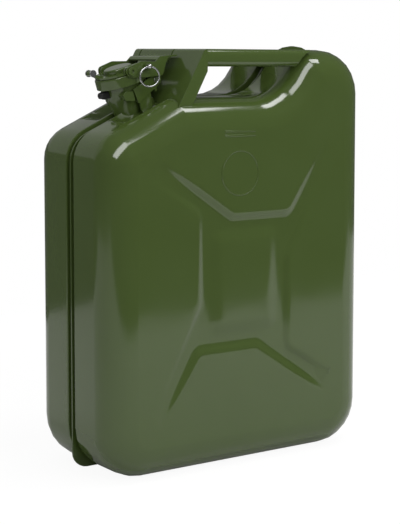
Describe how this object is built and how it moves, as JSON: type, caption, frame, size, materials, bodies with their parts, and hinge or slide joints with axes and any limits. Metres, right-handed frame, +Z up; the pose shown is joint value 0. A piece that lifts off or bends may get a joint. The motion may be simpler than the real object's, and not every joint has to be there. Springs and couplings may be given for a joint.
{
  "type": "jerrycan",
  "caption": "Flat pressed-steel fuel can with a recessed weld rim, bar handles on a folded bracket and a hinged lever-clamped pouring lid with a safety pin.",
  "frame": {"origin": "middle of the footprint, on the floor", "axes": "+Z up, +X from the neck end to the hump end, +Y across the can from the near broad face to the far one"},
  "size_m": [0.35, 0.1662, 0.466],
  "materials": {
    "olive_paint": "glossy olive enamel on pressed steel",
    "bright_steel": "bright plated steel",
    "black_rubber": "black rubber"
  },
  "bodies": {
    "can": {"near_shell": "olive_paint", "far_shell": "olive_paint", "pouring_neck": "olive_paint", "breather_tube": "olive_paint", "handle_near": "olive_paint", "handle_middle": "olive_paint", "handle_far": "olive_paint", "handle_bracket": "olive_paint", "neck_lug_near": "olive_paint", "neck_lug_far": "olive_paint", "front_catch": "black_rubber", "hinge_bracket": "olive_paint", "hinge_pin": "bright_steel"},
    "lid": {"lid_cap": "olive_paint", "lid_dome": "olive_paint", "gasket": "black_rubber", "clamp_yoke": "olive_paint", "eye_rivet": "bright_steel", "lever_rivet_near": "olive_paint", "lever_rivet_far": "olive_paint"},
    "lever": {"locking_lever": "olive_paint"},
    "pin": {"safety_pin": "bright_steel"},
    "ring": {"pull_ring": "bright_steel"}
  },
  "joints": [
    {"name": "lid_hinge", "type": "hinge", "parent": "can", "child": "lid", "pos_m": [-0.07987, 0, 0.42928], "axis": [0, 1, 0], "range_deg": [0, 85]},
    {"name": "lever_lift", "type": "hinge", "parent": "lid", "child": "lever", "pos_m": [-0.11427, 0, 0.43884], "axis": [0, -1, 0], "range_deg": [0, 136]},
    {"name": "pin_slide", "type": "slide", "parent": "lever", "child": "pin", "axis": [0, -1, 0], "range_m": [0, 0.008]},
    {"name": "ring_swing", "type": "hinge", "parent": "pin", "child": "ring", "pos_m": [-0.09557, -0.037, 0.44394], "axis": [-0.9744, 0.225, 0], "range_deg": [0, 90]}
  ],
  "couplings": [
    {"joint": "lever_lift", "follows": "lid_hinge", "ratio": 1.6}
  ]
}
